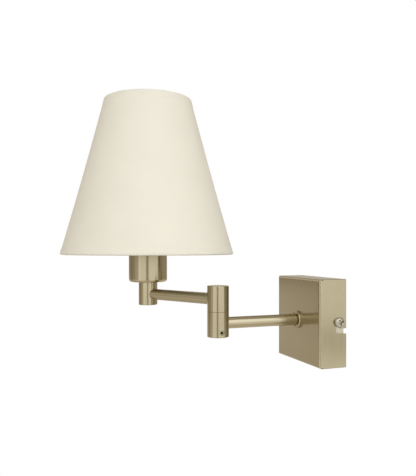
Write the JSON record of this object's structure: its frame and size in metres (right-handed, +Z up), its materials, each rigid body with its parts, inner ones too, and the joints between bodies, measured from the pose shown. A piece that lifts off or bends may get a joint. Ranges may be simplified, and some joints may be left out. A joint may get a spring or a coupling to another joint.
{
  "type": "swing arm wall light",
  "caption": "Wall light with a square wall box, a rear arm fixed to it, a swivel elbow, a swinging front arm and a conical fabric shade over a screw-in bulb.",
  "frame": {"origin": "centre of the wall box on the wall plane, midway between the two wall-screw slots", "axes": "+Z up, +Y into the wall, +X to the right as seen from the room"},
  "size_m": [0.1971, 0.2259, 0.2414],
  "materials": {
    "antique_brass": "brushed, bronzed",
    "zinc_steel": "zinc plated",
    "nickel": "nickel plated",
    "bright_brass": "plain",
    "cream_fabric": "fine weave",
    "liner_film": "satin",
    "white_wire": "powder coated",
    "holder_plastic": "satin",
    "block_plastic": "translucent",
    "opal_globe": "opal satin",
    "bulb_plastic": "gloss",
    "cap_nickel": "bright",
    "cap_glass": "gloss",
    "board_aluminium": "satin",
    "chip_phosphor": "gloss",
    "black_rubber": "matt",
    "nylon": "satin",
    "lead_sheath": "satin",
    "core_brown": "satin",
    "core_blue": "satin",
    "core_green": "satin"
  },
  "bodies": {
    "wall_unit": {"box_cover": "antique_brass", "wall_bracket": "zinc_steel", "side_screws": "nickel", "earth_washer": "zinc_steel", "earth_screw": "zinc_steel", "terminal_block": "block_plastic", "terminal_tubes": "bright_brass", "terminal_screws": "zinc_steel", "rear_arm_tube": "antique_brass", "arm_collar": "antique_brass", "arm_lock_washer": "zinc_steel", "arm_lock_nut": "zinc_steel", "lead_bush": "nylon", "elbow_lower": "antique_brass", "pivot_grub_screw": "antique_brass", "lead_rear": "lead_sheath", "wire_live": "core_brown", "wire_neutral": "core_blue", "wire_earth": "core_green"},
    "front_arm": {"elbow_upper": "antique_brass", "elbow_top_cap": "antique_brass", "pivot_stud": "bright_brass", "pivot_o_ring": "black_rubber", "pivot_washer": "nylon", "front_arm_tube": "antique_brass", "lamp_post": "antique_brass", "lamp_nipple": "bright_brass", "lamp_cup": "antique_brass", "cup_nut": "bright_brass", "holder_cap": "holder_plastic", "holder_shell": "holder_plastic", "holder_core": "holder_plastic", "thread_sleeve": "bright_brass", "centre_contact": "bright_brass", "shade_ring_lower": "holder_plastic", "shade_ring_upper": "holder_plastic", "carrier_hub": "white_wire", "carrier_spokes": "white_wire", "shade_base_ring": "white_wire", "shade_top_ring": "white_wire", "shade_fabric": "cream_fabric", "shade_liner": "liner_film", "shade_base_hem": "cream_fabric", "shade_top_hem": "cream_fabric", "lead_front": "lead_sheath"},
    "bulb_tip": {"bulb_tip": "cap_nickel"},
    "bulb": {"bulb_insulator": "cap_glass", "bulb_cap": "cap_nickel", "bulb_collar": "bulb_plastic", "bulb_globe": "opal_globe", "led_board": "board_aluminium", "led_chips": "chip_phosphor"}
  },
  "joints": [
    {"name": "elbow_swing", "type": "hinge", "parent": "wall_unit", "child": "front_arm", "pos_m": [0, -0.1025, 0.01], "axis": [0, 0, 1], "range_deg": [-43.2, 164.8]},
    {"name": "bulb_lift", "type": "slide", "parent": "front_arm", "child": "bulb_tip", "axis": [0, 0, 1], "range_m": [0, 0.01135]},
    {"name": "bulb_turn", "type": "hinge", "parent": "bulb_tip", "child": "bulb", "pos_m": [-0.07551, -0.1447, 0.07], "axis": [0, 0, 1], "range_deg": [0, 1440]}
  ],
  "couplings": [
    {"joint": "bulb_lift", "follows": "bulb_turn", "m_per_rad": 0.00044881}
  ]
}
